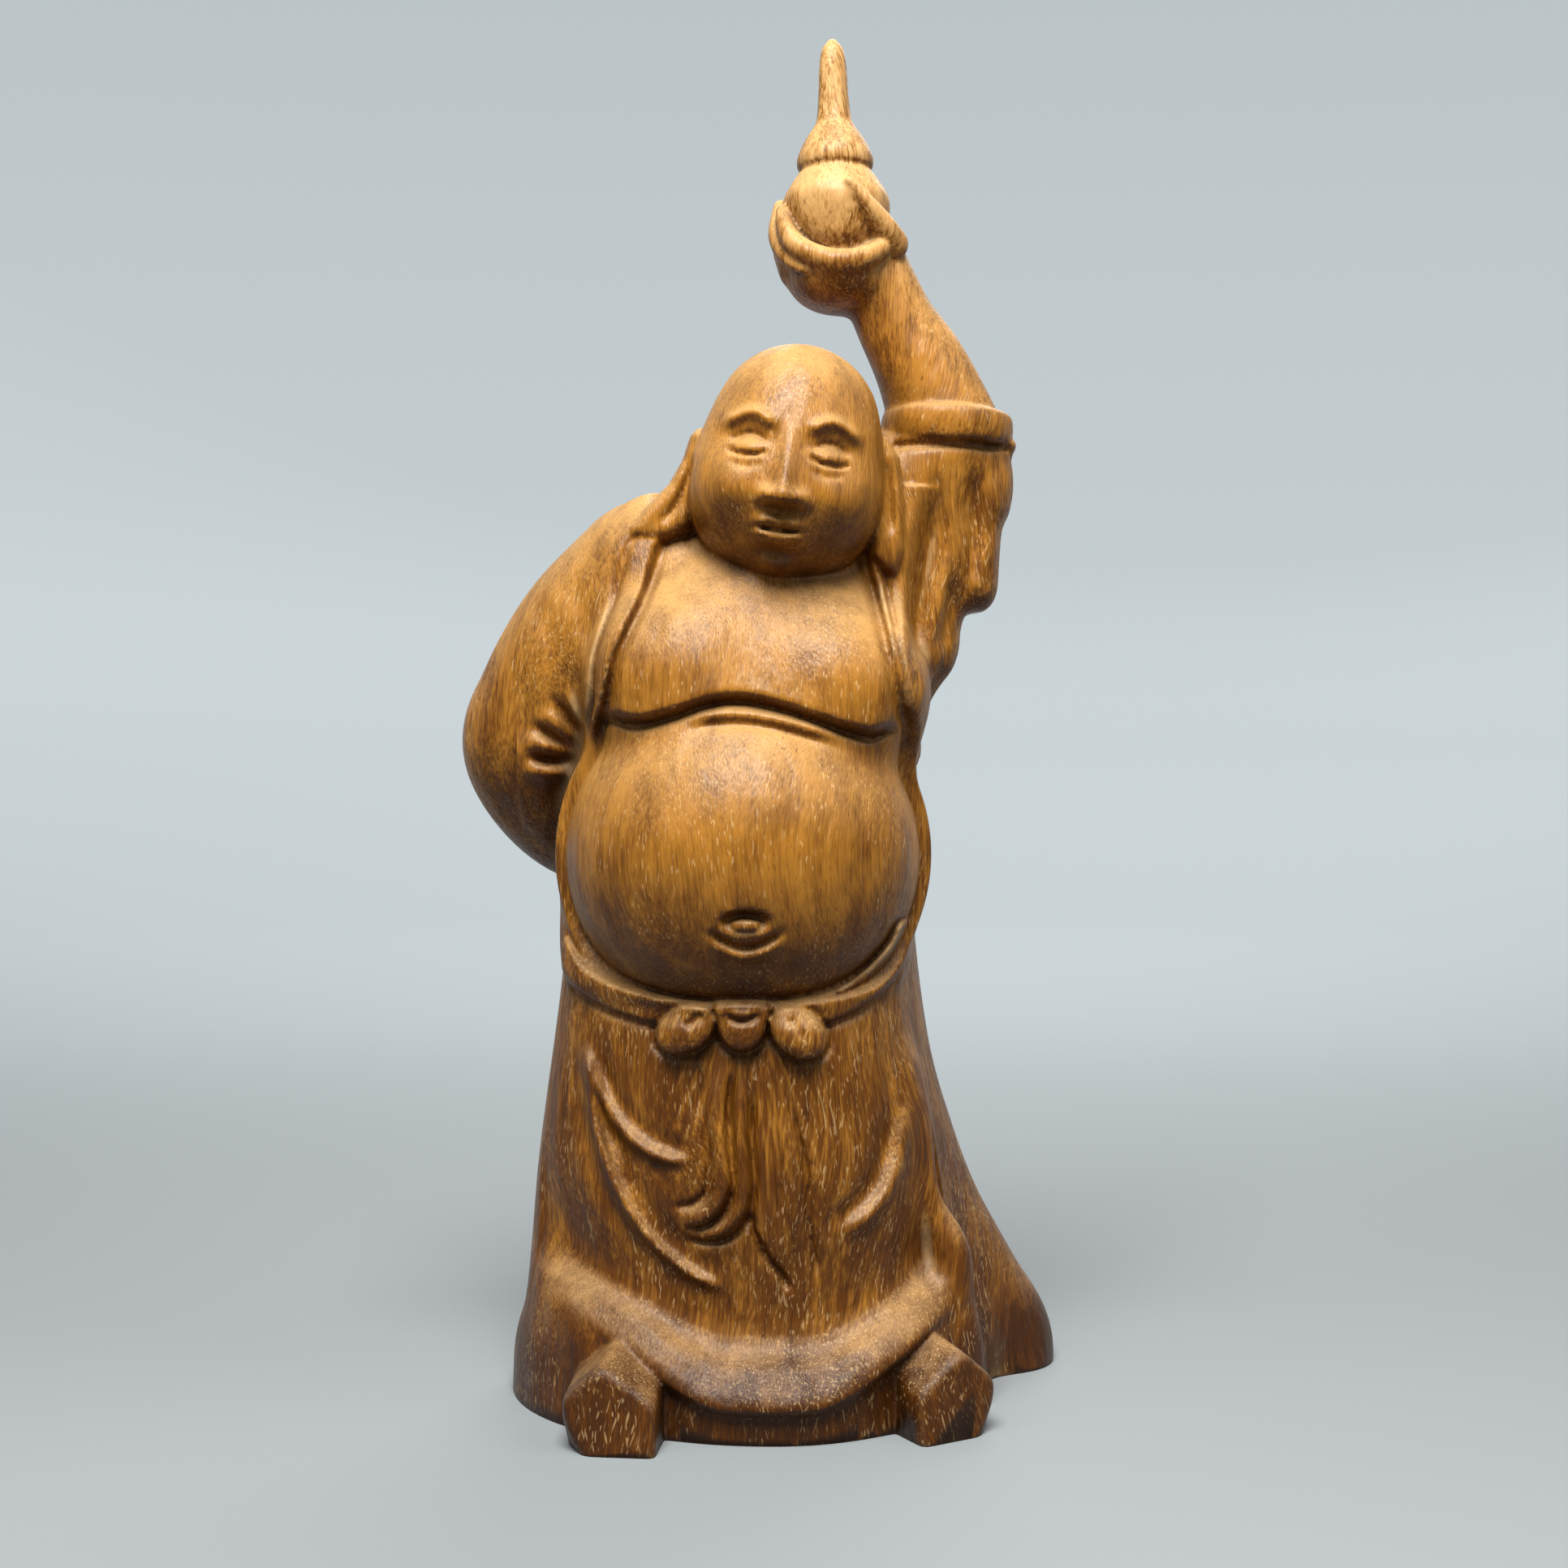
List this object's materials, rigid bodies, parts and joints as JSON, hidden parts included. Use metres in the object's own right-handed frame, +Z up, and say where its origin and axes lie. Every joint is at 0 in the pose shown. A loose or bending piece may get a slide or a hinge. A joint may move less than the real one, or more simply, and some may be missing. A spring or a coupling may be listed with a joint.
{
  "type": "laughing_buddha_figurine",
  "caption": "One-piece carved wooden figurine of a stout monk standing in an open robe, one arm raised with a gourd, flat sawn base.",
  "frame": {"origin": "middle of the flat sawn base, on its underside", "axes": "+Z up the figure to the gourd's tip; the figure faces -Y, and +X is to the viewer's right when it faces the viewer"},
  "size_m": [0.0756, 0.0506, 0.1662],
  "materials": {
    "carved_wood": "satin hand-rubbed oil and wax, visible grain and pores"
  },
  "bodies": {
    "root": {"figurine": "carved_wood"}
  },
  "joints": []
}
